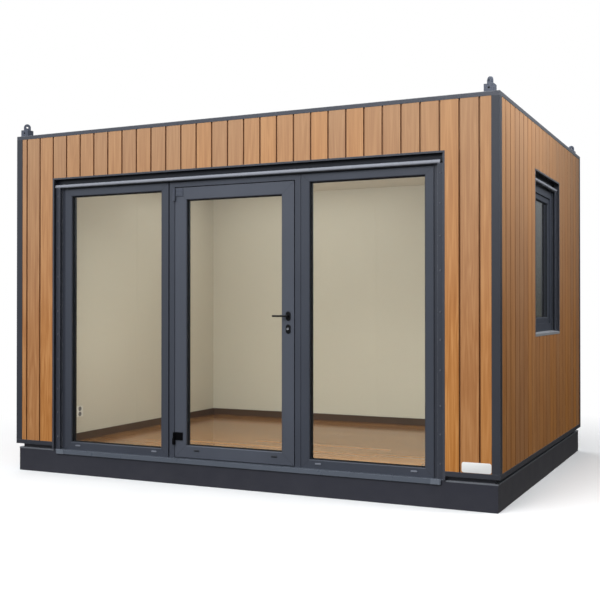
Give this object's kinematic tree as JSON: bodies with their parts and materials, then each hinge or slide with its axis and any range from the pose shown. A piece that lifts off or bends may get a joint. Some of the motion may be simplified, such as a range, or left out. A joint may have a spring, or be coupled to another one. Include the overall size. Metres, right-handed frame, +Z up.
{
  "type": "office container",
  "caption": "Timber-clad office cabin on a steel base frame with a glazed front, a hinged glass door, a side window and corner lifting lugs.",
  "frame": {"origin": "centre of the footprint at ground level, in the plane the base frame stands on", "axes": "+X along the glazed front towards the side with the window, +Y from the glazed front to the back wall, +Z up"},
  "size_m": [4.1, 3.16, 2.9059],
  "materials": {
    "anthracite_steel": "satin powder coat",
    "timber": "oiled, matt",
    "cream_board": "matt coated wall panel",
    "laminate": "satin laminate",
    "dark_skirting": "satin",
    "roof_metal": "satin coated sheet",
    "anthracite_profile": "satin foil",
    "box_panel": "satin",
    "guide_metal": "satin coated",
    "bar_metal": "satin",
    "pane": "clear",
    "sill_metal": "satin coated",
    "light_sill": "satin",
    "hinge_metal": "satin black",
    "lever_metal": "satin black",
    "lug_steel": "satin powder coat",
    "white_plastic": "glossy"
  },
  "bodies": {
    "building": {"base_frame": "anthracite_steel", "floor_joists": "anthracite_steel", "floor_deck": "laminate", "bottom_trim": "anthracite_steel", "skirting": "dark_skirting", "corner_posts": "anthracite_steel", "front_wall_left": "cream_board", "front_wall_right": "cream_board", "front_wall_head": "cream_board", "back_wall": "cream_board", "left_wall": "cream_board", "right_wall_front": "cream_board", "right_wall_back": "cream_board", "right_wall_below": "cream_board", "right_wall_above": "cream_board", "front_cladding": "timber", "right_cladding": "timber", "back_cladding": "timber", "left_cladding": "timber", "roof_panel": "cream_board", "roof_sheet": "roof_metal", "roof_trim": "anthracite_steel", "lifting_lugs": "lug_steel", "front_opening_trim": "anthracite_steel", "front_sill_plate": "sill_metal", "window_trim": "anthracite_steel", "window_sill_plate": "light_sill", "shutter_boxes": "box_panel", "shutter_guides": "guide_metal", "shutter_bars": "bar_metal", "left_light_frame": "anthracite_profile", "left_light_glass": "pane", "right_light_frame": "anthracite_profile", "right_light_glass": "pane", "door_frame": "anthracite_profile", "hinge_jamb_plates": "hinge_metal", "window_frame": "anthracite_profile", "window_sash": "anthracite_profile", "window_glass": "pane", "wall_socket": "white_plastic"},
    "door": {"door_leaf": "anthracite_profile", "door_glass": "pane", "hinge_leaf_plates": "hinge_metal", "lock_plates": "lever_metal"},
    "lever": {"door_lever": "lever_metal"}
  },
  "joints": [
    {"name": "door_swing", "type": "hinge", "parent": "building", "child": "door", "pos_m": [-0.5135, -1.54, 1.25], "axis": [0, 0, -1], "range_deg": [0, 100]},
    {"name": "lever_turn", "type": "hinge", "parent": "door", "child": "lever", "pos_m": [0.47, -1.5025, 1.3], "axis": [0, -1, 0], "range_deg": [0, 40], "stiffness_Nm_per_rad": 1.5, "springref_deg": -14.32}
  ]
}
